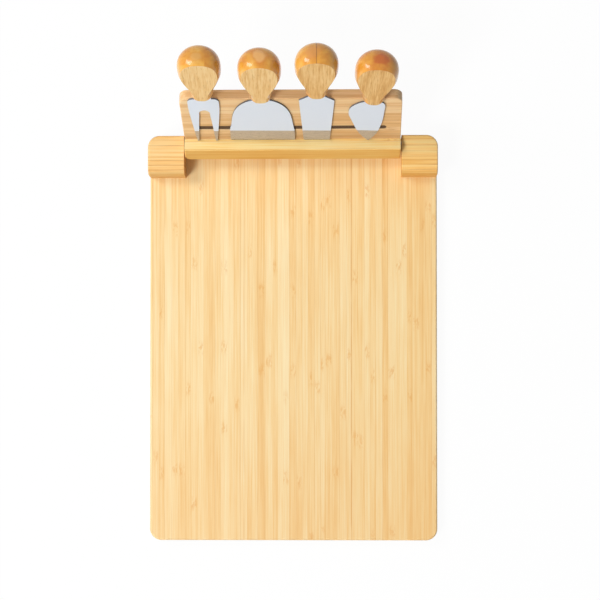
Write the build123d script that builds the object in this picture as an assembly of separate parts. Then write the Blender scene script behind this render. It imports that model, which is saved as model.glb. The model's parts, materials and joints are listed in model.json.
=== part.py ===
from build123d import *
from math import atan2, cos, degrees, radians, sin
import os

# A folding cheese board. A flat bamboo board carries two bamboo blocks on its far corners.
# Between the blocks a knife holder turns on two steel pins: it stands up behind the board,
# as drawn here, or folds forward until it lies flat over the board.
# Four cheese knives stand on the holder's ledge, held to its plate by a magnet strip.
# The frame: +X to the right, +Y from the near edge to the hinge, +Z up, in millimetres.
# The origin is the centre of the board's flat underside.

# board
board_width = 250.0
board_length = 350.0
board_thickness = 12.0
corner_radius = 10.0
board_edge_radius = 1.5

# hinge blocks
block_width = 31.2
block_depth = 34.0
block_front_radius = 8.0
block_edge_radius = 1.2

# knife holder
holder_lean = 24.0
plate_thickness = 9.3
plate_height = 62.0
plate_corner_radius = 7.0
plate_edge_radius = 0.8
ledge_depth = 11.3
ledge_height = 15.3
ledge_corner_radius = 4.5
ledge_edge_radius = 1.2
fold_clearance = 0.6
stop_clearance = 0.3
side_clearance = 1.0

# pivot: its height above the ledge's bottom, its depth behind the plate's front,
# and its distance from the board's far edge
pivot_rise = 4.0
pivot_depth = 2.0
pivot_inset = 6.4
pin_radius = 1.5
pin_in_block = 12.0
pin_in_plate = 15.0
pin_chamfer = 0.4
running_clearance = 0.05
fixed_clearance = 0.02
hole_bottom_gap = 0.5

# magnet strip and its slot in the plate
slot_end_margin = 12.4
slot_width = 5.3
slot_depth = 3.6
slot_rise = 18.0
magnet_thickness = 3.3
magnet_clearance = 0.1

# screws that hold the blocks
screw_radius = 2.0
screw_head_radius = 4.0
screw_length = 26.0
screw_inset = 10.0
screw_sink = 0.3
screw_slot_width = 1.0
screw_slot_depth = 1.2

# knives
blade_thickness = 1.4
blade_gap = 0.4
tip_gap = 0.3
edge_thickness = 0.7
bevel_height = 2.0
stem_half_width = 7.0
tang_depth = 22.0
tang_half_width = 4.5
tang_clearance = 0.05
shoulder_radius = 4.5
handle_length = 57.2
bulb_radius = 17.7
neck_radius = 8.8
neck_edge_radius = 2.5
flat_offset_at_bulb = 8.7
flat_offset_at_neck = 6.6

# the handles are oval: their depth before the flat is cut, as a share of their width
handle_depth_share = 0.89

# each blade's length, from its edge to the handle, its bare stem below the handle, and its shape
fork_length = 69.6
fork_stem_length = 5.9
fork_half_width = 13.1
fork_tip_place = 7.9
fork_tip_width = 1.2
fork_gap_half_width = 4.6
fork_bridge_height = 16.6
cleaver_length = 65.7
cleaver_stem_length = 4.5
cleaver_half_width = 27.5
plane_length = 71.9
plane_stem_length = 5.3
plane_corner_drop = 5.7
plane_edge_half_width = 11.1
plane_top_half_width = 14.7
spade_length = 62.7
spade_stem_length = 4.2
spade_left_width = 19.2
spade_right_width = 10.6

# each knife's lean to the right in degrees
fork_tilt = 0.25
cleaver_tilt = 0.7
plane_tilt = 0.8
spade_tilt = 3.4

# the gap on the left of each knife, as a share of the width that the four blades leave free
fork_gap_share = 0.154
cleaver_gap_share = 0.154
plane_gap_share = 0.086
spade_gap_share = 0.223

# one overrun for every cut
overrun = 2.0

# what follows from the sizes above
half_width = board_width / 2
half_length = board_length / 2
inner_face = half_width - block_width
holder_half_width = inner_face - side_clearance
block_height = fold_clearance + ledge_depth + plate_thickness
lean = radians(holder_lean)

# the pivot lies inside the plate, so high that the folded plate is level with the blocks
pivot_drop = ledge_height - pivot_rise
pivot_height = fold_clearance + ledge_depth + pivot_depth
pivot_y = half_length - pivot_inset
pivot_z = board_thickness + pivot_height

# the plane of the plate's front face: local x to the right, y up the plate, z out of its front
up_y, up_z = sin(lean), cos(lean)
out_y, out_z = -cos(lean), sin(lean)
foot_y = pivot_y + pivot_drop * up_y + pivot_depth * out_y
foot_z = pivot_z + pivot_drop * up_z + pivot_depth * out_z
front = Plane(origin=(0, foot_y, foot_z), x_dir=(1, 0, 0), z_dir=(0, out_y, out_z))

# the plate reaches below the ledge, and its lower back edge comes down on the board as the stop
heel_z = board_thickness + stop_clearance
plate_reach = (foot_z - plate_thickness * out_z - heel_z) / up_z

# the slot runs along the plate to a margin at each end
slot_length = 2 * holder_half_width - 2 * slot_end_margin

# heights on the blades, down from the handle
fork_shoulder_height = fork_length - fork_stem_length
fork_gap_height = fork_shoulder_height - fork_bridge_height
cleaver_shoulder_height = cleaver_length - cleaver_stem_length
plane_shoulder_height = plane_length - plane_stem_length
plane_corner_height = plane_shoulder_height - plane_corner_drop
spade_shoulder_height = spade_length - spade_stem_length

# where each knife stands along the ledge, from the left end
free_width = 2 * (holder_half_width - fork_half_width - cleaver_half_width - plane_top_half_width)
free_width -= spade_left_width + spade_right_width
fork_place = -holder_half_width + fork_gap_share * free_width + fork_half_width
cleaver_place = fork_place + fork_half_width + cleaver_gap_share * free_width + cleaver_half_width
plane_place = cleaver_place + cleaver_half_width + plane_gap_share * free_width + plane_top_half_width
spade_place = plane_place + plane_top_half_width + spade_gap_share * free_width + spade_left_width


def board():
    """The flat board: round corners and four screw holes."""
    outline = RectangleRounded(board_width, board_length, corner_radius)
    body = extrude(outline, board_thickness)
    rims = body.faces().sort_by(Axis.Z)
    body = fillet(rims[0].edges() + rims[-1].edges(), board_edge_radius)
    for place in screw_places():
        body -= place * screw_hole()
    return body


def screw_places():
    """Two screws under each block, set diagonally so that they miss the pivot pin."""
    outer = half_width - screw_inset
    inner = inner_face + screw_inset
    back = half_length - screw_inset
    near = half_length - block_depth + screw_inset
    return [Pos(side * x, y, screw_sink) for side in (-1, 1) for x, y in ((outer, back), (inner, near))]


def screw_hole():
    """The way of one screw through the board, with its countersink."""
    radius = screw_radius + fixed_clearance
    head_radius = screw_head_radius + fixed_clearance
    shank = Cylinder(radius, screw_length + overrun, align=(Align.CENTER, Align.CENTER, Align.MIN))
    head = Cone(head_radius, radius, head_radius - radius, align=(Align.CENTER, Align.CENTER, Align.MIN))
    mouth = Cylinder(head_radius, screw_sink + overrun, align=(Align.CENTER, Align.CENTER, Align.MAX))
    return shank + head + mouth


def screw():
    """One countersunk wood screw with a crossed drive, head down at its origin."""
    shank = Cylinder(screw_radius, screw_length, align=(Align.CENTER, Align.CENTER, Align.MIN))
    head_height = screw_head_radius - screw_radius
    head = Cone(screw_head_radius, screw_radius, head_height, align=(Align.CENTER, Align.CENTER, Align.MIN))
    body = shank + head
    on_floor = (Align.CENTER, Align.CENTER, Align.MIN)
    slot = Box(screw_head_radius, screw_slot_width, screw_slot_depth, align=on_floor)
    return body - slot - Rot(0, 0, 90) * slot


def block(side):
    """One hinge block on a far corner of the board, with the blind bore of its pivot pin."""
    profile_front = half_length - block_depth
    low, high = board_thickness, board_thickness + block_height
    side_view = Plane.YZ * make_face(
        Polyline(
            (profile_front, low),
            (profile_front, high),
            (half_length, high),
            (half_length, low),
            close=True,
        )
    )
    body = extrude(Pos(side * inner_face, 0, 0) * side_view, side * block_width)
    front_edge = body.edges().filter_by(Axis.X).group_by(Axis.Z)[-1].sort_by(Axis.Y)[0]
    body = fillet(front_edge, block_front_radius)
    outer_edges = body.edges().filter_by(Axis.Z).sort_by(Axis.X)
    outer_pair = outer_edges[-2:] if side > 0 else outer_edges[:2]
    body = fillet(outer_pair.sort_by(Axis.Y)[-1], corner_radius)
    top = body.faces().sort_by(Axis.Z)[-1]
    inner_x = side * inner_face
    rim = [edge for edge in top.edges() if abs(edge.center().X - inner_x) > block_edge_radius]
    rim = [edge for edge in rim if edge.center().Y > profile_front + block_front_radius + block_edge_radius]
    body = fillet(rim, block_edge_radius)
    bore_length = pin_in_block + hole_bottom_gap + overrun
    bore = Cylinder(pin_radius + fixed_clearance, bore_length, rotation=(0, 90, 0))
    bore_x = side * (inner_face - overrun + bore_length / 2)
    body -= Pos(bore_x, pivot_y, pivot_z) * bore
    for place in screw_places():
        body -= place * screw_hole()
    return body


def pivot_pin(side):
    """One steel pivot pin: fixed in its block and free to turn in the plate."""
    length = pin_in_block + side_clearance + pin_in_plate
    pin = Cylinder(pin_radius, length, rotation=(0, 90, 0))
    pin = chamfer(pin.edges(), pin_chamfer)
    middle = side * (inner_face + pin_in_block - length / 2)
    return Pos(middle, pivot_y, pivot_z) * pin


def holder_plate():
    """The tall plate that the blades lie against: a slot for the magnet strip, and bores for the pins."""
    bottom, top = -plate_reach, plate_height
    middle = (top + bottom) / 2
    outline = Pos(0, middle) * Rectangle(2 * holder_half_width, top - bottom)
    outline = fillet(outline.vertices().group_by(Axis.Y)[-1], plate_corner_radius)
    body = extrude(outline, -plate_thickness)
    top_edges = [edge for edge in body.edges() if edge.center().Y > top - plate_corner_radius]
    body = fillet([edge for edge in top_edges if not parallel_to_z(edge)], plate_edge_radius)
    slot = extrude(SlotOverall(slot_length, slot_width), slot_depth + overrun)
    body -= Pos(0, slot_rise, -slot_depth) * slot
    bore_length = pin_in_plate + hole_bottom_gap + overrun
    bore = Cylinder(pin_radius + running_clearance, bore_length, rotation=(0, 90, 0))
    for side in (-1, 1):
        bore_x = side * (holder_half_width + overrun - bore_length / 2)
        body -= Pos(bore_x, -pivot_drop, -pivot_depth) * bore
    return front * body


def parallel_to_z(edge):
    """True for a straight edge along local Z."""
    return edge.geom_type == GeomType.LINE and abs(edge.tangent_at(0).Z) > cos(lean)


def magnet_strip():
    """The dark magnet strip at the bottom of the plate's slot."""
    outline = SlotOverall(slot_length - 2 * magnet_clearance, slot_width - 2 * magnet_clearance)
    return front * Pos(0, slot_rise, -slot_depth) * extrude(outline, magnet_thickness)


def holder_ledge():
    """The square bar across the plate, on which the knives stand; its left end is rounded below."""
    size = (2 * holder_half_width, ledge_height, ledge_depth)
    body = Pos(0, -ledge_height / 2, ledge_depth / 2) * Box(*size)
    left_end = body.edges().filter_by(Axis.Z).group_by(Axis.Y)[0].sort_by(Axis.X)[0]
    body = fillet(left_end, ledge_corner_radius)
    front_face = body.faces().sort_by(Axis.Z)[-1]
    return front * fillet(front_face.edges(), ledge_edge_radius)


# Points along each outline are shares of the blade's half width and shoulder height,
# of the handle's taper, and of its bulb's radius both ways.
fork_outer_shares = ((0.77, 0.24), (0.84, 0.4), (0.93, 0.6), (1.0, 0.82))
fork_inner_shares = ((0.8, 0.3), (0.66, 0.68))
cleaver_side_shares = ((1.0, 0.18), (0.965, 0.36), (0.91, 0.57), (0.84, 0.715), (0.7, 0.85), (0.53, 0.935))
spade_left_shares = (
    (-0.32, 0.123),
    (-0.58, 0.283),
    (-0.84, 0.524),
    (-1.0, 0.71),
    (-0.93, 0.843),
    (-0.74, 0.924),
)
spade_right_shares = ((0.52, 0.164), (0.84, 0.386), (0.97, 0.63), (1.0, 0.84), (0.95, 0.948))
taper_shares = ((0.16, 0.05), (0.36, 0.27), (0.56, 0.6), (0.76, 0.88))
dome_shares = ((0.973, 0.339), (0.891, 0.574), (0.758, 0.758), (0.574, 0.891), (0.339, 0.973))


def shared(shares, width, height):
    """Points at shares of a width and a height."""
    return [(across * width, along * height) for across, along in shares]


def mirrored(points):
    """The same points on the left, in the other order."""
    return [(-x, y) for x, y in reversed(points)]


def stem(length, shoulder):
    """The stem above a blade's shoulder, and its tang inside the handle."""
    neck = Pos(0, (shoulder + length) / 2) * Rectangle(2 * stem_half_width, length - shoulder)
    tang = Pos(0, length + tang_depth / 2) * Rectangle(2 * tang_half_width, tang_depth)
    root = Pos(0, shoulder - shoulder_radius / 2) * Rectangle(2 * stem_half_width, shoulder_radius)
    return neck + tang + root


def fork_outline():
    """Two tapering tines below a round-shouldered body."""
    outer = shared(fork_outer_shares, fork_half_width, fork_shoulder_height)
    outer_tip = (fork_tip_place + fork_tip_width / 2, 0)
    inner_tip = (fork_tip_place - fork_tip_width / 2, 0)
    gap_start = (fork_gap_half_width, fork_gap_height - fork_gap_half_width)
    inner = [
        (fork_tip_place * fork_inner_shares[0][0], fork_gap_height * fork_inner_shares[0][1]),
        (fork_tip_place * fork_inner_shares[1][0], fork_gap_height * fork_inner_shares[1][1]),
    ]
    side_top = outer[-1]
    top_right = (fork_half_width, fork_shoulder_height)
    right_outer = Spline(outer_tip, *outer)
    left_outer = Spline(*mirrored([outer_tip, *outer]))
    right_inner = Spline(gap_start, *reversed(inner), inner_tip, tangents=((0, -1), (0.1, -1)))
    left_inner = Spline((-inner_tip[0], 0), *mirrored(list(reversed(inner))), (-gap_start[0], gap_start[1]),
                        tangents=((0.1, 1), (0, 1)))
    crown = ThreePointArc((-gap_start[0], gap_start[1]), (0, fork_gap_height), gap_start)
    edges = [
        right_outer,
        Line(side_top, top_right),
        Line(top_right, (-top_right[0], top_right[1])),
        Line((-top_right[0], top_right[1]), (-side_top[0], side_top[1])),
        left_outer,
        Line((-outer_tip[0], 0), (-inner_tip[0], 0)),
        left_inner,
        crown,
        right_inner,
        Line(inner_tip, outer_tip),
    ]
    body = make_face(Wire(edges))
    shoulders = body.vertices().group_by(Axis.Y)[-1]
    return fillet(shoulders, shoulder_radius) + stem(fork_length, fork_shoulder_height)


def cleaver_outline():
    """A wide straight edge under a dome."""
    side = shared(cleaver_side_shares, cleaver_half_width, cleaver_shoulder_height)
    corner = (cleaver_half_width, 0)
    root = (stem_half_width, cleaver_shoulder_height)
    right = Spline(*side, root, tangents=((0, 1), (-1, 0.25)))
    left = Spline((-root[0], root[1]), *mirrored(side), tangents=((-1, -0.25), (0, -1)))
    edges = [
        Line((-corner[0], 0), corner),
        Line(corner, side[0]),
        right,
        Line(root, (-root[0], root[1])),
        left,
        Line((-side[0][0], side[0][1]), (-corner[0], 0)),
    ]
    return make_face(Wire(edges)) + stem(cleaver_length, cleaver_shoulder_height)


def plane_outline():
    """A narrow chisel blade that widens towards the handle."""
    right = [
        (plane_edge_half_width, 0),
        (plane_top_half_width, plane_corner_height),
        (stem_half_width, plane_shoulder_height),
    ]
    body = make_face(Polyline(*right, *mirrored(right), close=True))
    return body + stem(plane_length, plane_shoulder_height)


def spade_outline():
    """A pointed blade, fuller on its left than on its right."""
    right = shared(spade_right_shares, spade_right_width, spade_shoulder_height)
    left = shared(spade_left_shares, spade_left_width, spade_shoulder_height)
    tip = (0, 0)
    root = (stem_half_width, spade_shoulder_height)
    edges = [
        Spline(tip, *right, root),
        Line(root, (-root[0], root[1])),
        Spline((-root[0], root[1]), *reversed(left), tip),
    ]
    return make_face(Wire(edges)) + stem(spade_length, spade_shoulder_height)


def blade(outline, has_bevel):
    """A flat blade from its outline, with its middle plane at local zero and a ground edge."""
    body = extrude(outline, blade_thickness / 2, both=True)
    if not has_bevel:
        return body
    removed = blade_thickness - edge_thickness
    high = blade_thickness / 2 + overrun
    slope = (high - blade_thickness / 2) * bevel_height / removed
    side_view = Plane.YZ * make_face(
        Polyline(
            (-overrun, high),
            (bevel_height + slope, high),
            (0, blade_thickness / 2 - removed),
            (-overrun, blade_thickness / 2 - removed),
            close=True,
        )
    )
    return body - extrude(side_view, cleaver_half_width + overrun, both=True)


def handle(length):
    """An oval pear-shaped handle with a flat ground on its front and a slot for the tang."""
    rise = handle_length - bulb_radius
    swell = bulb_radius - neck_radius
    points = [(neck_radius + across * swell, along * rise) for along, across in taper_shares]
    taper = Spline((neck_radius, 0), *points, (bulb_radius, rise), tangents=((0, 1), (0, 1)))
    dome_points = [(across * bulb_radius, rise + along * bulb_radius) for across, along in dome_shares]
    dome = Spline((bulb_radius, rise), *dome_points, (0, handle_length), tangents=((0, 1), (-1, 0)))
    edges = [taper, dome, Line((0, handle_length), (0, 0)), Line((0, 0), (neck_radius, 0))]
    body = revolve(make_face(Wire(edges)), Axis.Y)
    body = fillet(body.edges().group_by(Axis.Y)[0], neck_edge_radius)
    body = scale(body, by=(1, 1, handle_depth_share))
    flat_slope = degrees(atan2(flat_offset_at_bulb - flat_offset_at_neck, rise))
    cut_height = bulb_radius + overrun
    cutter = Box(2 * cut_height, 2 * handle_length, cut_height, align=(Align.CENTER, Align.CENTER, Align.MIN))
    cutter = Pos(0, 0, flat_offset_at_neck) * Rot(flat_slope, 0, 0) * Pos(0, handle_length / 2, 0) * cutter
    body -= cutter
    slot_size = (2 * (tang_half_width + tang_clearance), tang_depth + tang_clearance + overrun)
    tang_slot = Box(*slot_size, blade_thickness + 2 * tang_clearance)
    body -= Pos(0, (tang_depth + tang_clearance - overrun) / 2, 0) * tang_slot
    return Pos(0, length, 0) * body


def on_plate(place, tilt, edge_half_width):
    """Where a knife stands: its edge's lower corner just above the ledge, its back just off the plate."""
    rise = tip_gap + edge_half_width * sin(radians(abs(tilt)))
    return front * Pos(place, rise, blade_gap + blade_thickness / 2) * Rot(0, 0, -tilt)


fork_edge_half_width = fork_tip_place + fork_tip_width / 2
knives = {
    "fork": (fork_outline, fork_length, fork_place, fork_tilt, fork_edge_half_width, False),
    "cleaver": (cleaver_outline, cleaver_length, cleaver_place, cleaver_tilt, cleaver_half_width, True),
    "plane": (plane_outline, plane_length, plane_place, plane_tilt, plane_edge_half_width, True),
    "spade": (spade_outline, spade_length, spade_place, spade_tilt, 0, False),
}

parts = {
    "board": board(),
    "block_left": block(-1),
    "block_right": block(1),
    "block_screws": Compound(children=[place * screw() for place in screw_places()]),
    "pivot_pin_left": pivot_pin(-1),
    "pivot_pin_right": pivot_pin(1),
    "holder_plate": holder_plate(),
    "holder_ledge": holder_ledge(),
    "magnet_strip": magnet_strip(),
}
for name, (outline, length, place, tilt, edge_half_width, has_bevel) in knives.items():
    stand = on_plate(place, tilt, edge_half_width)
    parts[name + "_blade"] = stand * blade(outline(), has_bevel)
    parts[name + "_handle"] = stand * handle(length)

print("holder folds forward by", 90 + holder_lean, "degrees")
print("pivot y, z:", round(pivot_y, 4), round(pivot_z, 4))
print("plate reaches below the ledge's top by", round(plate_reach, 3))
places = (fork_place, cleaver_place, plane_place, spade_place)
print("knives stand at x:", [round(place, 2) for place in places])

os.makedirs("parts", exist_ok=True)
for name, solid in parts.items():
    export_step(solid, "parts/" + name + ".step")
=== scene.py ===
"""Looks of the folding cheese board: materials, floor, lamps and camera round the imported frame."""

import json
from collections import defaultdict, namedtuple
from math import cos, radians, sin

import bpy
from mathutils import Matrix, Vector


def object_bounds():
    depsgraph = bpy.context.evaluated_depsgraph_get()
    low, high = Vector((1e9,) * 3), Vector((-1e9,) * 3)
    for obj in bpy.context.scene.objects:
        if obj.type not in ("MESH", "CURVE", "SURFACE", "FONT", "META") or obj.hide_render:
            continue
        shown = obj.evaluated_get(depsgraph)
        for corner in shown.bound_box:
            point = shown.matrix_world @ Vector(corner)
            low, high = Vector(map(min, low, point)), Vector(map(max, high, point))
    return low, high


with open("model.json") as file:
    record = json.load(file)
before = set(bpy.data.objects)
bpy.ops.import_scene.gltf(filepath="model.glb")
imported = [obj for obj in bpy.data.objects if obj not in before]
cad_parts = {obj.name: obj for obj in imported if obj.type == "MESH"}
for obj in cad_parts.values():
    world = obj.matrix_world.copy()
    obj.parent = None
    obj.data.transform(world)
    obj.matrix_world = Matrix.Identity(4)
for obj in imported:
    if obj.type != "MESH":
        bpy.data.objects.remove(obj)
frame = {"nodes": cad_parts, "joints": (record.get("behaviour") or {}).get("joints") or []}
cad_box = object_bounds()

MM = 0.001
X_AXIS = Vector((1.0, 0.0, 0.0))
Y_AXIS = Vector((0.0, 1.0, 0.0))
Z_AXIS = Vector((0.0, 0.0, 1.0))
WHITE = (1.0, 1.0, 1.0, 1.0)

KNIVES = ("fork", "cleaver", "plane", "spade")
JOINTS = {joint["name"]: joint for joint in frame["joints"]}

# The holder folds a quarter turn and its own lean
QUARTER_TURN = 90.0
HOLDER_LEAN = radians(JOINTS["holder_fold"]["range_deg"][1] - QUARTER_TURN)
HOLDER_UP = Vector((0.0, sin(HOLDER_LEAN), cos(HOLDER_LEAN)))
HOLDER_OUT = Vector((0.0, -cos(HOLDER_LEAN), sin(HOLDER_LEAN)))

# The display curve: where its straight foot ends, the foot's slope, and the offset and power above it
FULL_VALUE = 255.0
FOOT_END = 0.04045
FOOT_SLOPE = 12.92
CURVE_OFFSET = 0.055
CURVE_POWER = 2.4


def linear(red, green, blue):
    """A colour written in display values from 0 to 255, as the linear colour that a shader takes."""
    colour = []
    for value in (red, green, blue):
        share = value / FULL_VALUE
        curved = ((share + CURVE_OFFSET) / (1.0 + CURVE_OFFSET)) ** CURVE_POWER
        colour.append(share / FOOT_SLOPE if share <= FOOT_END else curved)
    return (*colour, 1.0)


# Shader building

# A noise's rates per millimetre along each coordinate, its detail and its roughness,
# and how far it moves what it is laid on
Pattern = namedtuple("Pattern", "rates detail roughness amount", defaults=(0.0,))
NOISE_MIDDLE = 0.5


class Graph:
    """One material's node tree, with short ways to add and link nodes."""

    def __init__(self, name):
        self.material = bpy.data.materials.new(name)
        self.material.use_nodes = True
        self.tree = self.material.node_tree
        self.tree.nodes.clear()
        self.output = self.add("ShaderNodeOutputMaterial")

    def feed(self, socket, value):
        if isinstance(value, bpy.types.NodeSocket):
            self.tree.links.new(value, socket)
        else:
            socket.default_value = value

    def add(self, kind, settings=None, inputs=None):
        node = self.tree.nodes.new(kind)
        for name, value in (settings or {}).items():
            setattr(node, name, value)
        for name, value in (inputs or {}).items():
            self.feed(node.inputs[name], value)
        return node

    def math(self, operation, first, second=0.0):
        return self.add("ShaderNodeMath", {"operation": operation}, {0: first, 1: second}).outputs[0]

    def plus(self, first, second):
        return self.math("ADD", first, second)

    def times(self, first, second):
        return self.math("MULTIPLY", first, second)

    def rest(self, share):
        """What a share leaves of 1."""
        return self.math("SUBTRACT", 1.0, share)

    def dot(self, vector, axis):
        node = self.add("ShaderNodeVectorMath", {"operation": "DOT_PRODUCT"}, {0: vector, 1: axis})
        return node.outputs["Value"]

    def scale(self, vector, factor):
        node = self.add("ShaderNodeVectorMath", {"operation": "SCALE"}, {0: vector, "Scale": factor})
        return node.outputs[0]

    def pack(self, x, y, z=0.0):
        return self.add("ShaderNodeCombineXYZ", None, {0: x, 1: y, 2: z}).outputs[0]

    def stretch(self, rates, *coordinates):
        """A point whose first coordinates are multiplied by their rates; the others stay."""
        scaled = [self.times(coordinate, rate) for coordinate, rate in zip(coordinates, rates)]
        return self.pack(*scaled, *coordinates[len(rates):])

    def noise(self, vector, kind, distortion=0.0):
        inputs = {
            "Vector": vector,
            "Scale": 1.0,
            "Detail": kind.detail,
            "Roughness": kind.roughness,
            "Distortion": distortion,
        }
        return self.add("ShaderNodeTexNoise", {"noise_dimensions": "3D"}, inputs).outputs[0]

    def pattern(self, kind, *coordinates):
        return self.noise(self.stretch(kind.rates, *coordinates), kind)

    def vary(self, value, noise, amount):
        """A value moved up and down by a noise that lies between 0 and 1."""
        return self.plus(value, self.times(self.plus(noise, -NOISE_MIDDLE), amount))

    def random(self, *coordinates):
        inputs = {"Vector": self.pack(*coordinates)}
        return self.add("ShaderNodeTexWhiteNoise", {"noise_dimensions": "3D"}, inputs).outputs["Value"]

    def step(self, value, low, high):
        """0 below low, 1 above high and smooth between; low may lie above high."""
        inputs = {"Value": value, "From Min": low, "From Max": high, "To Min": 0.0, "To Max": 1.0}
        if low > high:
            inputs.update({"From Min": high, "From Max": low, "To Min": 1.0, "To Max": 0.0})
        return self.add("ShaderNodeMapRange", {"interpolation_type": "SMOOTHSTEP"}, inputs).outputs[0]

    def ramp(self, value, stops):
        node = self.add("ShaderNodeValToRGB", None, {"Fac": value})
        elements = node.color_ramp.elements
        while len(elements) < len(stops):
            elements.new(stops[-1][0])
        for element, (place, colour) in zip(elements, stops):
            element.position = place
            element.color = colour
        return node.outputs[0]

    def mix(self, factor, first, second, blend="MIX"):
        node = self.add("ShaderNodeMix", {"data_type": "RGBA", "blend_type": blend})
        colours = [socket for socket in node.inputs if socket.type == "RGBA"]
        self.feed(node.inputs[0], factor)
        self.feed(colours[0], first)
        self.feed(colours[1], second)
        return next(socket for socket in node.outputs if socket.type == "RGBA")

    def millimetres(self):
        """The point on the piece at rest, in millimetres."""
        return self.scale(self.add("ShaderNodeTexCoord").outputs["Object"], 1.0 / MM)

    def normal(self):
        return self.add("ShaderNodeTexCoord").outputs["Normal"]

    def facing(self, axis):
        """How squarely the surface faces along an axis of the piece, either way, from 0 to 1."""
        return self.math("ABSOLUTE", self.dot(self.normal(), axis))

    def bump(self, height, strength, distance):
        inputs = {"Height": height, "Strength": strength, "Distance": distance * MM}
        return self.add("ShaderNodeBump", None, inputs).outputs[0]

    def finish(self, **inputs):
        """The material, with a principled shader fed by its inputs' names, spaces written as underscores."""
        named = {name.replace("_", " "): value for name, value in inputs.items()}
        shader = self.add("ShaderNodeBsdfPrincipled", None, named)
        self.tree.links.new(shader.outputs[0], self.output.inputs["Surface"])
        return self.material


def extent(node, axis):
    """The least and the greatest place of a node along an axis, in millimetres."""
    places = [axis.dot(vertex.co) / MM for vertex in frame["nodes"][node].data.vertices]
    return min(places), max(places)


def middle(node, axis):
    """The middle of a node's extent along an axis, in millimetres."""
    return sum(extent(node, axis)) / 2.0


def paint(node, material):
    """Gives a CAD node a material in place of its plain ones."""
    for slot in frame["nodes"][node].material_slots:
        slot.material = material


# Bamboo

# The patterns of the wood along, across and through its grain, and how far each moves its tone
SLOW = Pattern((1.0 / 90.0, 3.7), 2.0, 0.6, 0.6)
BROAD = Pattern((0.003, 0.07), 2.0, 0.6, 0.5)
BAND = Pattern((0.006, 0.55, 0.3), 2.0, 0.6, 0.7)
FIBRE = Pattern((0.02, 1.1, 1.1), 3.0, 0.65, 0.95)
WOOD_TONE = 0.5
STRIP_AMOUNT = 0.38

# The strips' uneven widths: a drift, its rate as a share of the strips' own, and how far it shifts them
DRIFT = Pattern((), 1.0, 0.5)
DRIFT_RATE = 0.5
STRIP_WANDER = 1.3

# Glue lines: their half width as a share of a strip, which of them show, and where they break off
LINE_SHARE = 0.11
LINES_SHOWN = (0.2, 0.8)
BREAK = Pattern((0.02, 5.1), 2.0, 0.5)
BREAK_SEED = 3.0
BREAK_RANGE = (0.3, 0.6)

# Knuckle marks: one place in each cell along a strip, with a speckled mark in some cells
KNUCKLE_PERIOD = 70.0
KNUCKLE_SHIFT = 9.0
KNUCKLE_HALF = 9.0
KNUCKLE_CORE = 1.0
KNUCKLE_STRENGTH = 0.46
KNUCKLE_BORDER = (0.02, 0.16)
CELL_EDGE = 0.02
SPECKLE = Pattern((0.16, 0.5, 0.5), 3.0, 0.6)
SPECKLE_DISTORTION = 0.5
SPECKLE_RANGE = (0.42, 0.62)

# Numbers that set the random draws apart
STRIP_DRAW = 0.5
LINE_DRAW = 7.5
CELL_DRAW = 2.5

# End grain: dots to a millimetre, the radii between which they fade, how much darker the rest is,
# and how squarely a face lies across the grain where it begins and is whole
DOT_RATE = 1.7
DOT_RADII = (0.32, 0.12)
END_DARKNESS = 0.35
END_FACING = (0.72, 0.95)
# How squarely a face looks along a wood's front axis where its painted front shade begins and is whole
FRONT_SHADE_FACING = (0.3, 0.95)

WOOD_ROUGHNESS = 0.44
FIBRE_ROUGHNESS = 0.16
FIBRE_HEIGHT = 0.6
GLUE_HEIGHT = -0.5
WOOD_BUMP = (0.22, 0.15)

# Each palette: places in the tone from 0 to 1, and the colour at each
BOARD_PALETTE = (
    (0.10, linear(238, 192, 124)),
    (0.34, linear(244, 205, 142)),
    (0.52, linear(247, 214, 156)),
    (0.70, linear(249, 221, 168)),
    (0.92, linear(251, 229, 182)),
)
BLOCK_PALETTE = (
    (0.10, linear(236, 172, 86)),
    (0.34, linear(247, 190, 108)),
    (0.55, linear(254, 206, 133)),
    (0.75, linear(254, 215, 148)),
    (0.95, linear(254, 223, 164)),
)
PLATE_PALETTE = (
    (0.10, linear(219, 167, 106)),
    (0.34, linear(234, 186, 127)),
    (0.55, linear(246, 204, 151)),
    (0.75, linear(251, 215, 165)),
    (0.95, linear(252, 226, 182)),
)
LEDGE_PALETTE = (
    (0.10, linear(230, 171, 83)),
    (0.34, linear(246, 203, 119)),
    (0.55, linear(253, 221, 147)),
    (0.75, linear(254, 230, 167)),
    (0.95, linear(255, 236, 184)),
)

# Where the colour is deeper: axis, start and end in millimetres, and the tint at the end.
# On the board the darkening towards the bottom, the top and the right is partly the wood's own tone
# and partly painted shade and falloff of the light; the narrow step at the seam is the wood's own tone.
BOARD_TINTS = (
    (Y_AXIS, -10.0, -170.0, (0.97, 0.91, 0.84, 1.0)),
    (Y_AXIS, 70.0, 150.0, (1.0, 0.985, 0.96, 1.0)),
    (X_AXIS, 0.0, 125.0, (1.0, 0.97, 0.92, 1.0)),
    (X_AXIS, 50.2, 51.0, (1.0, 0.985, 0.955, 1.0)),
)
BLOCK_TINTS = (
    (X_AXIS, 0.0, 90.0, (1.0, 0.985, 0.86, 1.0)),
    (X_AXIS, 0.0, -90.0, (0.93, 0.94, 0.96, 1.0)),
)

# Painted shade at the plate's foot, in the crease above the ledge: the plate is darker between two heights
# above the ledge
FOOT_SHADE_HEIGHTS = (12.0, 2.0)
FOOT_SHADE_TINT = (0.76, 0.7, 0.64, 1.0)
FOOT_SHADE_PLACES = [extent("holder_ledge", HOLDER_UP)[1] + height for height in FOOT_SHADE_HEIGHTS]
PLATE_SHADE_TINTS = ((HOLDER_UP, *FOOT_SHADE_PLACES, FOOT_SHADE_TINT),)

# Painted shade: the tint of the faces that look along an axis, the fronts of the blocks and the ledge that
# turn away from the light
BLOCK_FRONT_SHADE = (Y_AXIS, (0.87, 0.81, 0.7, 1.0))
LEDGE_FRONT_SHADE = (HOLDER_OUT, (0.84, 0.66, 0.42, 1.0))

# Glue lines that show more than others: place across the strips, half width and strength
BOARD_SEAMS = ((50.6, 0.9, 0.9), (-43.0, 0.7, 0.5))
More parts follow.
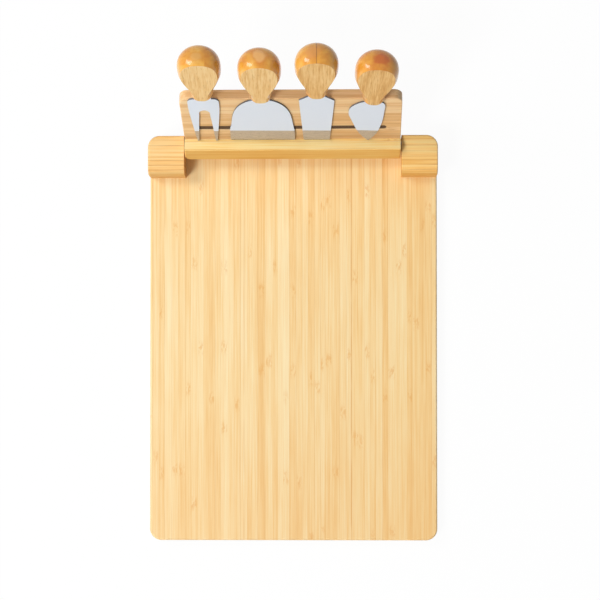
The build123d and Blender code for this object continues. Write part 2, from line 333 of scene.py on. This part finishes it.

# Each wood: its axes along, across and through the grain, the strips' width, the colours of its
# strips, glue lines and knuckles, its random seed, the glue lines' strength, the share of
# cells without a knuckle, and then its tints, some of them painted shade, the painted shade of its front
# faces and its seams
FIELDS = "axes width palette line knuckle seed line_strength bare_share tints front seams"
Wood = namedtuple("Wood", FIELDS, defaults=((), None, ()))
WOODS = {
    "board": Wood(
        axes=(Y_AXIS, X_AXIS, Z_AXIS),
        width=5.4,
        palette=BOARD_PALETTE,
        line=linear(222, 166, 96),
        knuckle=linear(228, 160, 72),
        seed=3.7,
        line_strength=0.55,
        bare_share=0.72,
        tints=BOARD_TINTS,
        seams=BOARD_SEAMS,
    ),
    "block": Wood(
        axes=(X_AXIS, Y_AXIS, Z_AXIS),
        width=4.6,
        palette=BLOCK_PALETTE,
        line=linear(190, 122, 50),
        knuckle=linear(196, 128, 50),
        seed=11.3,
        line_strength=1.0,
        bare_share=0.93,
        tints=BLOCK_TINTS,
        front=BLOCK_FRONT_SHADE,
    ),
    "plate": Wood(
        axes=(X_AXIS, HOLDER_UP, HOLDER_OUT),
        width=5.2,
        palette=PLATE_PALETTE,
        line=linear(196, 140, 84),
        knuckle=linear(188, 128, 66),
        seed=23.9,
        line_strength=0.7,
        bare_share=0.93,
        tints=PLATE_SHADE_TINTS,
    ),
    "ledge": Wood(
        axes=(X_AXIS, HOLDER_OUT, HOLDER_UP),
        width=5.6,
        palette=LEDGE_PALETTE,
        line=linear(204, 138, 64),
        knuckle=linear(188, 122, 46),
        seed=31.1,
        line_strength=0.7,
        bare_share=0.85,
        front=LEDGE_FRONT_SHADE,
    ),
}


def strip_place(g, v, width, wander, seed):
    """The place across uneven strips: its whole part numbers the strip, its fraction lies within it."""
    drift = g.noise(g.pack(g.times(v, DRIFT_RATE / width), seed, seed), DRIFT)
    return g.plus(g.times(v, 1.0 / width), g.times(drift, wander))


def wood_tone(g, place, number, fibre, seed):
    """How pale the wood is: by strip, along each strip, in broad and narrow bands and by fibre."""
    u, v, w = place
    value = g.vary(WOOD_TONE, g.random(number, seed, STRIP_DRAW), STRIP_AMOUNT)
    value = g.vary(value, g.pattern(SLOW, u, number, seed), SLOW.amount)
    value = g.vary(value, g.pattern(BROAD, u, v, seed), BROAD.amount)
    value = g.vary(value, g.pattern(BAND, u, v, w), BAND.amount)
    return g.vary(value, fibre, FIBRE.amount)


def glue_lines(g, wood, place, number, border):
    """Thin lines between the strips, some of them faint or broken, and how whole each line is."""
    shown = g.step(g.random(number, wood.seed, LINE_DRAW), *LINES_SHOWN)
    whole = g.step(g.pattern(BREAK, place[0], number, BREAK_SEED), *BREAK_RANGE)
    return g.times(g.step(border, LINE_SHARE, 0.0), g.times(shown, whole)), whole


def knuckle_marks(g, wood, place, number, border):
    """Speckled marks where the bamboo's joints were."""
    shift = g.times(g.random(number, wood.seed, CELL_DRAW), KNUCKLE_SHIFT)
    cell_place = g.plus(g.times(place[0], 1.0 / KNUCKLE_PERIOD), shift)
    cell = g.math("FLOOR", cell_place)
    off_middle = g.plus(g.math("FRACT", cell_place), -NOISE_MIDDLE)
    distance = g.math("ABSOLUTE", g.times(off_middle, KNUCKLE_PERIOD))
    speckle = g.noise(g.stretch(SPECKLE.rates, *place), SPECKLE, SPECKLE_DISTORTION)
    present = g.step(g.random(number, cell, wood.seed), wood.bare_share, wood.bare_share + CELL_EDGE)
    mark = g.times(g.step(distance, KNUCKLE_HALF, KNUCKLE_CORE), g.step(speckle, *SPECKLE_RANGE))
    return g.times(g.times(mark, present), g.step(border, *KNUCKLE_BORDER))


def end_grain(g, wood, place, colour):
    """The cut ends of the strips, darker and dotted."""
    vector = g.stretch((DOT_RATE, DOT_RATE), *place[1:])
    dots = g.add("ShaderNodeTexVoronoi", None, {"Vector": vector, "Scale": 1.0}).outputs["Distance"]
    return g.mix(g.step(dots, *DOT_RADII), g.mix(END_DARKNESS, colour, wood.line), wood.line)


def tinted(g, wood, point, colour):
    """The colour, deepened where the wood's tints say, which is partly painted shade, and darkened with
    painted shade on the faces that its front names.
    """
    for axis, start, stop, tint in wood.tints:
        colour = g.mix(g.step(g.dot(point, axis), start, stop), colour, tint, "MULTIPLY")
    if wood.front:
        axis, tint = wood.front
        colour = g.mix(g.step(g.facing(axis), *FRONT_SHADE_FACING), colour, tint, "MULTIPLY")
    return colour


def bamboo(kind):
    """Strips of bamboo glued side by side: long fibres, glue lines, knuckle marks and end grain."""
    wood = WOODS[kind]
    g = Graph("bamboo_" + kind)
    point = g.millimetres()
    place = [g.dot(point, axis) for axis in wood.axes]
    strips = strip_place(g, place[1], wood.width, STRIP_WANDER, wood.seed)
    number = g.math("FLOOR", strips)
    part = g.math("FRACT", strips)
    border = g.math("MINIMUM", part, g.rest(part))
    fibre = g.pattern(FIBRE, *place)
    colour = g.ramp(wood_tone(g, place, number, fibre, wood.seed), wood.palette)

    glue, whole = glue_lines(g, wood, place, number, border)
    colour = g.mix(g.times(glue, wood.line_strength), colour, wood.line)
    for seam, half, strength in wood.seams:
        near = g.step(g.math("ABSOLUTE", g.plus(place[1], -seam)), half, 0.0)
        colour = g.mix(g.times(near, g.times(whole, strength)), colour, wood.line)
    marks = knuckle_marks(g, wood, place, number, border)
    colour = g.mix(g.times(marks, KNUCKLE_STRENGTH), colour, wood.knuckle)
    # Tints, partly painted shade, and painted shade on the front faces
    colour = tinted(g, wood, point, colour)
    colour = g.mix(g.step(g.facing(wood.axes[0]), *END_FACING), colour, end_grain(g, wood, place, colour))

    height = g.plus(g.times(fibre, FIBRE_HEIGHT), g.times(glue, GLUE_HEIGHT))
    rough = g.plus(WOOD_ROUGHNESS, g.times(fibre, FIBRE_ROUGHNESS))
    return g.finish(Base_Color=colour, Roughness=rough, Normal=g.bump(height, *WOOD_BUMP))


paint("board", bamboo("board"))
block_wood = bamboo("block")
paint("block_left", block_wood)
paint("block_right", block_wood)
paint("holder_plate", bamboo("plate"))
paint("holder_ledge", bamboo("ledge"))


# Knives

RAW_PALETTE = (
    (0.10, linear(208, 151, 88)),
    (0.38, linear(229, 180, 114)),
    (0.60, linear(243, 202, 140)),
    (0.90, linear(251, 218, 162)),
)
AMBER_PALETTE = (
    (0.05, linear(188, 98, 26)),
    (0.35, linear(219, 138, 40)),
    (0.62, linear(237, 168, 60)),
    (0.92, linear(245, 192, 96)),
)
SIDE_PALETTE = (
    (0.05, linear(211, 139, 63)),
    (0.35, linear(231, 165, 84)),
    (0.62, linear(240, 185, 107)),
    (0.92, linear(248, 204, 131)),
)

# Handles glued from blocks of bamboo: the blocks' width and depth, how far their borders wander,
# how the layers slant, and how much one block differs from the next
GLUED_WIDTH = 12.5
GLUED_WANDER = 0.7
LAYER_DEPTH = 10.0
LAYER_WANDER = 0.9
LAYER_SLANT = 0.25
LAYER_SEED = 5.0
GLUED_AMOUNT = 0.12
HANDLE_FIBRE = Pattern((0.05, 2.4, 2.4), 4.0, 0.7, 0.35)
HANDLE_SLOW = Pattern((0.05, 0.12), 2.0, 0.6, 0.9)
SLOW_DEPTH_RATE = 0.12
HANDLE_TONES = {"fork": 0.56, "cleaver": 0.58, "plane": 0.54, "spade": 0.44}
TOP_FACING = (-0.15, 0.75)

# The dark glue seam in the middle of a dome
SEAM_STRENGTHS = {"fork": 0.0, "cleaver": 0.0, "plane": 0.75, "spade": 0.0}
SEAM_HALF = 0.7
SEAM_COLOUR = linear(150, 78, 26)

# The round patch on each dome: its place to the right and to the front of the middle, its radius
# in millimetres, its colour and the colour of the ring about it
PATCHES = {
    "fork": (-1.0, 5.0, 4.0, linear(232, 174, 92), linear(214, 140, 52)),
    "cleaver": (0.5, 1.7, 5.5, linear(250, 192, 118), linear(214, 120, 40)),
    "plane": (-4.0, 1.7, 5.0, linear(226, 152, 76), linear(226, 152, 72)),
    "spade": (3.0, 3.4, 5.5, linear(204, 92, 24), linear(216, 126, 44)),
}
PATCH_UNEVENNESS = 1.2
PATCH_RANGE = (1.25, 0.75)
PATCH_STRENGTH = 0.7
RING_RANGE = (1.9, 0.9)
RING_STRENGTH = 0.55

# The raw flat at the front, which begins just behind its plane, and its streaks and short dark dashes
FLAT_MARGIN = 0.08
RAW_TONES = {"fork": 0.64, "cleaver": 0.62, "plane": 0.48, "spade": 0.46}
RAW_STREAK = Pattern((0.05, 0.8), 3.0, 0.7, 1.4)
RAW_SLOW_AMOUNT = 0.6
RAW_DASH = Pattern((0.12, 1.3), 2.0, 0.5)
DASH_SEED = 2.0
DASH_RANGE = (0.62, 0.74)
DASH_STRENGTH = 0.5
DASH_COLOUR = linear(176, 120, 62)

VARNISH = 0.9
VARNISH_ROUGHNESS = 0.15
HANDLE_SPECULAR = 0.15
VARNISHED_ROUGHNESS = 0.34
RAW_ROUGHNESS = 0.22
HANDLE_FIBRE_ROUGHNESS = 0.1
VARNISHED_HEIGHT = 0.1
RAW_HEIGHT = 0.8
HANDLE_BUMP = (0.3, 0.12)

# The blades' brushed steel, its pale bluish colour partly a painted reflection of the studio and its thin
# side faces painted dark as shade, with a lower band of the given height in millimetres: a ground edge, more
# metallic and smoother, coloured with a painted brownish reflection of the ledge
REFLECTION_BAND_HEIGHT = 15.3
REFLECTION_BAND_EDGE = 0.25
REFLECTION_BAND_METAL = 0.34
REFLECTION_BAND_ROUGHNESS = -0.12
BRUSHED = Pattern((5.0, 0.12), 3.0, 0.7)
# The pale bluish colours and paler clouds of the blade: the steel's own satin colour and partly a painted
# reflection of the pale studio
CLOUD = Pattern((0.04, 0.04), 2.0, 0.5)
CLOUD_STRENGTH = 0.25
CLOUD_COLOUR = linear(234, 243, 255)
SATIN_AND_REFLECTION_COLOURS = (linear(220, 232, 250), linear(230, 241, 255))
# Painted brownish reflection of the ledge: the colours of the band along the edge
REFLECTION_BAND_COLOURS = (linear(186, 176, 166), linear(198, 188, 178))
# The blades' thin side faces, painted dark as shade and dark reflection, and how squarely a face looks out
# where this painted shade begins and is whole
SIDE_SHADE_COLOUR = linear(96, 102, 114)
SIDE_SHADE_FACING = (0.8, 0.4)
BLADE_ROUGHNESS = 0.36
BRUSHED_ROUGHNESS = 0.08
BLADE_BUMP = (0.08, 0.02)

# The first knife's random seed and the step to each next one's
HANDLE_SEEDS = (4.3, 7.1)
BLADE_SEEDS = (2.9, 5.3)
NORMAL_DIGITS = 3


def knife_axes(knife):
    """Along the knife from its edge to its handle, across it, and out from the plate."""
    along = Vector(JOINTS[knife + "_draw"]["axis"]).normalized()
    out = (HOLDER_OUT - HOLDER_OUT.dot(along) * along).normalized()
    return along, along.cross(out), out


def widest_flat(node):
    """The direction and the distance in millimetres of a node's largest plane face."""
    mesh = frame["nodes"][node].data
    areas = defaultdict(float)
    for face in mesh.polygons:
        areas[tuple(round(value, NORMAL_DIGITS) for value in face.normal)] += face.area
    normal = Vector(max(areas, key=areas.get)).normalized()
    return normal, extent(node, normal)[1]


def dome_patch(g, knife, colour, v, w, slow):
    """A round patch of other wood, with a ring about it, which shows on the top of the dome."""
    right, front, radius, inside, ring = PATCHES[knife]
    across, out = knife_axes(knife)[1:]
    side = g.plus(v, -middle(knife + "_handle", across) - right)
    depth = g.plus(w, -middle(knife + "_handle", out) - front)
    length = g.math("SQRT", g.plus(g.times(side, side), g.times(depth, depth)))
    length = g.vary(g.times(length, 1.0 / radius), slow, PATCH_UNEVENNESS)
    colour = g.mix(g.times(g.step(length, *RING_RANGE), RING_STRENGTH), colour, ring)
    return g.mix(g.times(g.step(length, *PATCH_RANGE), PATCH_STRENGTH), colour, inside)


def varnished_wood(g, knife, place, fibre, slow, seed):
    """The amber colour of a handle: glued blocks, deeper end grain on top, a patch and a seam."""
    along, across, out = knife_axes(knife)
    v, w = place[1:]
    slanted = g.plus(w, g.times(v, LAYER_SLANT))
    block = g.math("FLOOR", strip_place(g, v, GLUED_WIDTH, GLUED_WANDER, seed))
    layer = g.math("FLOOR", strip_place(g, slanted, LAYER_DEPTH, LAYER_WANDER, seed + LAYER_SEED))
    value = g.vary(HANDLE_TONES[knife], g.random(block, layer, seed), GLUED_AMOUNT)
    value = g.vary(value, slow, HANDLE_SLOW.amount)
    value = g.vary(value, fibre, HANDLE_FIBRE.amount)
    top = g.step(g.dot(g.normal(), along), *TOP_FACING)
    colour = g.mix(top, g.ramp(value, SIDE_PALETTE), g.ramp(value, AMBER_PALETTE))
    colour = dome_patch(g, knife, colour, v, w, slow)
    seam = g.math("ABSOLUTE", g.plus(v, -middle(knife + "_handle", across)))
    return g.mix(g.times(g.step(seam, SEAM_HALF, 0.0), SEAM_STRENGTHS[knife]), colour, SEAM_COLOUR)


def raw_wood(g, knife, place, streak, slow, seed):
    """The pale colour of the sawn flat, with streaks and short dark dashes."""
    value = g.vary(RAW_TONES[knife], streak, RAW_STREAK.amount)
    value = g.vary(value, slow, RAW_SLOW_AMOUNT)
    dash = g.pattern(RAW_DASH, *place[:2], seed + DASH_SEED)
    dashes = g.times(g.step(dash, *DASH_RANGE), DASH_STRENGTH)
    return g.mix(dashes, g.ramp(value, RAW_PALETTE), DASH_COLOUR)


def handle_wood(knife, seed):
    """A varnished handle of glued bamboo, with a raw sawn flat at its front."""
    g = Graph("handle_wood_" + knife)
    normal, distance = widest_flat(knife + "_handle")
    point = g.millimetres()
    place = [g.dot(point, axis) for axis in knife_axes(knife)]
    u, v, w = place
    sawn = g.step(g.dot(point, normal), distance - FLAT_MARGIN, distance - FLAT_MARGIN / 2.0)
    fibre = g.pattern(HANDLE_FIBRE, *place)
    slow = g.pattern(HANDLE_SLOW, u, v, g.plus(g.times(w, SLOW_DEPTH_RATE), seed))
    streak = g.pattern(RAW_STREAK, u, v, seed)
    varnished = varnished_wood(g, knife, place, fibre, slow, seed)
    colour = g.mix(sawn, varnished, raw_wood(g, knife, place, streak, slow, seed))

    fibre_rough = g.plus(VARNISHED_ROUGHNESS, g.times(fibre, HANDLE_FIBRE_ROUGHNESS))
    rough = g.plus(g.times(sawn, RAW_ROUGHNESS), fibre_rough)
    height = g.times(g.plus(fibre, streak), g.plus(g.times(sawn, RAW_HEIGHT), VARNISHED_HEIGHT))
    return g.finish(
        Base_Color=colour,
        Roughness=rough,
        Specular_IOR_Level=HANDLE_SPECULAR,
        Coat_Weight=g.times(g.rest(sawn), VARNISH),
        Coat_Roughness=VARNISH_ROUGHNESS,
        Normal=g.bump(height, *HANDLE_BUMP),
    )


def blade_steel(knife, seed):
    """Satin steel, its pale bluish colour partly a painted reflection of the studio, with a browner and more
    metallic band along the edge whose colour is a painted reflection of the ledge, and thin side faces
    painted dark as shade.
    """
    g = Graph("blade_steel_" + knife)
    along, across, out = knife_axes(knife)
    reflection_band_top = extent(knife + "_blade", along)[0] + REFLECTION_BAND_HEIGHT
    point = g.millimetres()
    u = g.dot(point, along)
    v = g.dot(point, across)
    reflection_band = g.step(u, reflection_band_top + REFLECTION_BAND_EDGE, reflection_band_top - REFLECTION_BAND_EDGE)
    brushed = g.pattern(BRUSHED, u, v, seed)
    cloud = g.pattern(CLOUD, u, v, seed)
    # Satin colour, partly a painted bluish-white reflection of the studio
    satin_and_reflection = g.mix(g.times(cloud, CLOUD_STRENGTH), g.mix(brushed, *SATIN_AND_REFLECTION_COLOURS), CLOUD_COLOUR)
    # The lower band: a ground edge, coloured with a painted brownish reflection of the ledge
    face = g.mix(reflection_band, satin_and_reflection, g.mix(brushed, *REFLECTION_BAND_COLOURS))
    # Painted shade and dark reflection on the thin side faces
    colour = g.mix(g.step(g.facing(out), *SIDE_SHADE_FACING), face, SIDE_SHADE_COLOUR)
    brushed_rough = g.plus(g.times(brushed, BRUSHED_ROUGHNESS), g.times(reflection_band, REFLECTION_BAND_ROUGHNESS))
    return g.finish(
        Base_Color=colour,
        Metallic=g.times(reflection_band, REFLECTION_BAND_METAL),
        Roughness=g.plus(BLADE_ROUGHNESS, brushed_rough),
        Normal=g.bump(brushed, *BLADE_BUMP),
    )


for order, knife in enumerate(KNIVES):
    paint(knife + "_handle", handle_wood(knife, HANDLE_SEEDS[0] + HANDLE_SEEDS[1] * order))
    paint(knife + "_blade", blade_steel(knife, BLADE_SEEDS[0] + BLADE_SEEDS[1] * order))


# Metal fittings and magnet

# Turning marks, their rate per millimetre, and how far they change the steel's shade and roughness
MARKS = Pattern((), 3.0, 0.6)
MARKS_RATE = 3.0
MARKS_SHADE = 16
MARKS_ROUGHNESS = 0.15
BLUE_LIFT = 2
FITTING_BUMP = (0.1, 0.02)

# The steel's darkest display value and its least roughness
SCREW_STEEL = (176, 0.26)
PIN_STEEL = (184, 0.22)

MAGNET_STREAK = Pattern((0.08, 1.6), 4.0, 0.6)
MAGNET_COLOURS = (linear(66, 44, 28), linear(98, 72, 50))
MAGNET_ROUGHNESS = 0.5
STREAK_ROUGHNESS = 0.2
MAGNET_BUMP = (0.2, 0.05)


def fitting_steel(name, shade, rough):
    """Plain bright steel with fine turning marks."""
    g = Graph(name)
    marks = g.noise(g.scale(g.millimetres(), MARKS_RATE), MARKS)
    pale = shade + MARKS_SHADE
    colour = g.mix(marks, linear(shade, shade, shade + BLUE_LIFT), linear(pale, pale, pale + BLUE_LIFT))
    return g.finish(
        Base_Color=colour,
        Metallic=1.0,
        Roughness=g.plus(rough, g.times(marks, MARKS_ROUGHNESS)),
        Normal=g.bump(marks, *FITTING_BUMP),
    )


def magnet_rubber():
    """Dark brown magnet strip with a slightly streaked, matt face."""
    g = Graph("magnet")
    point = g.millimetres()
    streak = g.pattern(MAGNET_STREAK, g.dot(point, X_AXIS), g.dot(point, HOLDER_UP))
    return g.finish(
        Base_Color=g.mix(streak, *MAGNET_COLOURS),
        Roughness=g.plus(MAGNET_ROUGHNESS, g.times(streak, STREAK_ROUGHNESS)),
        Normal=g.bump(streak, *MAGNET_BUMP),
    )


screw_steel = fitting_steel("screw_steel", *SCREW_STEEL)
pin_steel = fitting_steel("pin_steel", *PIN_STEEL)
paint("block_screws", screw_steel)
paint("pivot_pin_left", pin_steel)
paint("pivot_pin_right", pin_steel)
paint("magnet_strip", magnet_rubber())


# Floor and background

# The floor's half width in metres, how far it lies below the object, its colour, and the share of
# plain white in what is seen of it
FLOOR_HALF = 3.0
FLOOR_DROP = 0.1 * MM
FLOOR_COLOUR = linear(252, 252, 252)
FLOOR_LIFT = 0.95
WORLD_LEVEL = 0.14
WORLD_COLOUR = (0.94, 0.975, 1.0, 1.0)


def seen_directly(tree):
    """1 for rays from the camera and for reflected and transmitted ones, 0 for the light's own."""
    path = tree.nodes.new("ShaderNodeLightPath")
    total = path.outputs["Is Camera Ray"]
    for name in ("Is Glossy Ray", "Is Transmission Ray"):
        node = tree.nodes.new("ShaderNodeMath")
        node.operation = "MAXIMUM"
        tree.links.new(total, node.inputs[0])
        tree.links.new(path.outputs[name], node.inputs[1])
        total = node.outputs[0]
    return total


def pale_floor():
    """A wide pale floor that shows the object's shadow and is otherwise white."""
    mesh = bpy.data.meshes.new("floor")
    low = cad_box[0][2] - FLOOR_DROP
    corners = ((-1, -1), (1, -1), (1, 1), (-1, 1))
    mesh.from_pydata([(FLOOR_HALF * x, FLOOR_HALF * y, low) for x, y in corners], [], [(0, 1, 2, 3)])
    floor = bpy.data.objects.new("floor", mesh)
    bpy.context.scene.collection.objects.link(floor)
    g = Graph("floor")
    diffuse = g.add("ShaderNodeBsdfDiffuse", None, {"Color": FLOOR_COLOUR})
    white = g.add("ShaderNodeEmission", None, {"Color": WHITE, "Strength": 1.0})
    share = g.times(seen_directly(g.tree), FLOOR_LIFT)
    both = g.add("ShaderNodeMixShader", None, {0: share, 1: diffuse.outputs[0], 2: white.outputs[0]})
    g.tree.links.new(both.outputs[0], g.output.inputs["Surface"])
    mesh.materials.append(g.material)


def plain_world():
    """An even pale light, which shows as white."""
    world = bpy.data.worlds.new("studio")
    bpy.context.scene.world = world
    world.use_nodes = True
    tree = world.node_tree
    tree.nodes.clear()
    lighting = tree.nodes.new("ShaderNodeBackground")
    lighting.inputs["Strength"].default_value = WORLD_LEVEL
    lighting.inputs["Color"].default_value = WORLD_COLOUR
    shown = tree.nodes.new("ShaderNodeBackground")
    shown.inputs["Color"].default_value = WHITE
    both = tree.nodes.new("ShaderNodeMixShader")
    output = tree.nodes.new("ShaderNodeOutputWorld")
    tree.links.new(seen_directly(tree), both.inputs[0])
    tree.links.new(lighting.outputs[0], both.inputs[1])
    tree.links.new(shown.outputs[0], both.inputs[2])
    tree.links.new(both.outputs[0], output.inputs["Surface"])


pale_floor()
plain_world()


# Lamps

# What the lamps shine on, in metres, and each lamp's direction from it, its distance and its size
# in metres, its power in watts and its colour
LAMP_TARGET = Vector((0.0, 0.03, 0.03))
LAMPS = {
    "key": ((-0.56, -0.46, 1.0), 3.2, 0.9, 66.0, (0.985, 0.99, 0.985)),
    "back": ((-0.62, 0.33, 0.75), 2.6, 1.0, 28.0, (0.99, 0.99, 0.98)),
    "front_fill": ((0.1, -0.9, 0.45), 2.2, 1.6, 4.5, (0.9, 0.96, 1.0)),
}


def soft_lamp(name, direction, distance, size, power, colour):
    """A square soft lamp that shines on the object from a direction."""
    data = bpy.data.lights.new(name, "AREA")
    data.shape = "SQUARE"
    data.size = size
    data.energy = power
    data.color = colour
    lamp = bpy.data.objects.new(name, data)
    place = Vector(direction).normalized()
    lamp.location = LAMP_TARGET + place * distance
    lamp.rotation_euler = place.to_track_quat("Z", "Y").to_euler()
    bpy.context.scene.collection.objects.link(lamp)


for lamp_name, settings in LAMPS.items():
    soft_lamp(lamp_name, *settings)


# Camera

# Its place in metres, worked out like its turns from the edges of the board, the blocks and the holder
CAMERA_PLACE = Vector((46.28, -48.79, 1561.43)) * MM
CAMERA_TILT = radians(1.130)
CAMERA_ROLL = radians(-0.014)
CAMERA_YAW = radians(-1.496)
CAMERA_LENS = 106.8
CAMERA_SENSOR = 36.0
CAMERA_SHIFT_UP = 0.1
CAMERA_CLIPS = (0.05, 50.0)


def place_camera():
    """The camera, tilted up from straight down, turned about the upright and rolled about its own axis."""
    data = bpy.data.cameras.new("camera")
    data.sensor_width = CAMERA_SENSOR
    data.lens = CAMERA_LENS
    data.shift_y = CAMERA_SHIFT_UP
    data.clip_start, data.clip_end = CAMERA_CLIPS
    camera = bpy.data.objects.new("camera", data)
    bpy.context.scene.collection.objects.link(camera)
    ahead = Vector((
        sin(CAMERA_YAW),
        sin(CAMERA_TILT) * cos(CAMERA_YAW),
        -cos(CAMERA_TILT) * cos(CAMERA_YAW),
    )).normalized()
    level = ahead.cross(Y_AXIS).normalized()
    upright = level.cross(ahead)
    right = level * cos(CAMERA_ROLL) + upright * sin(CAMERA_ROLL)
    up = upright * cos(CAMERA_ROLL) - level * sin(CAMERA_ROLL)
    turn = Matrix((right, up, -ahead)).transposed()
    camera.matrix_world = Matrix.Translation(CAMERA_PLACE) @ turn.to_4x4()
    bpy.context.scene.camera = camera


place_camera()
bpy.context.scene.view_settings.view_transform = "Standard"
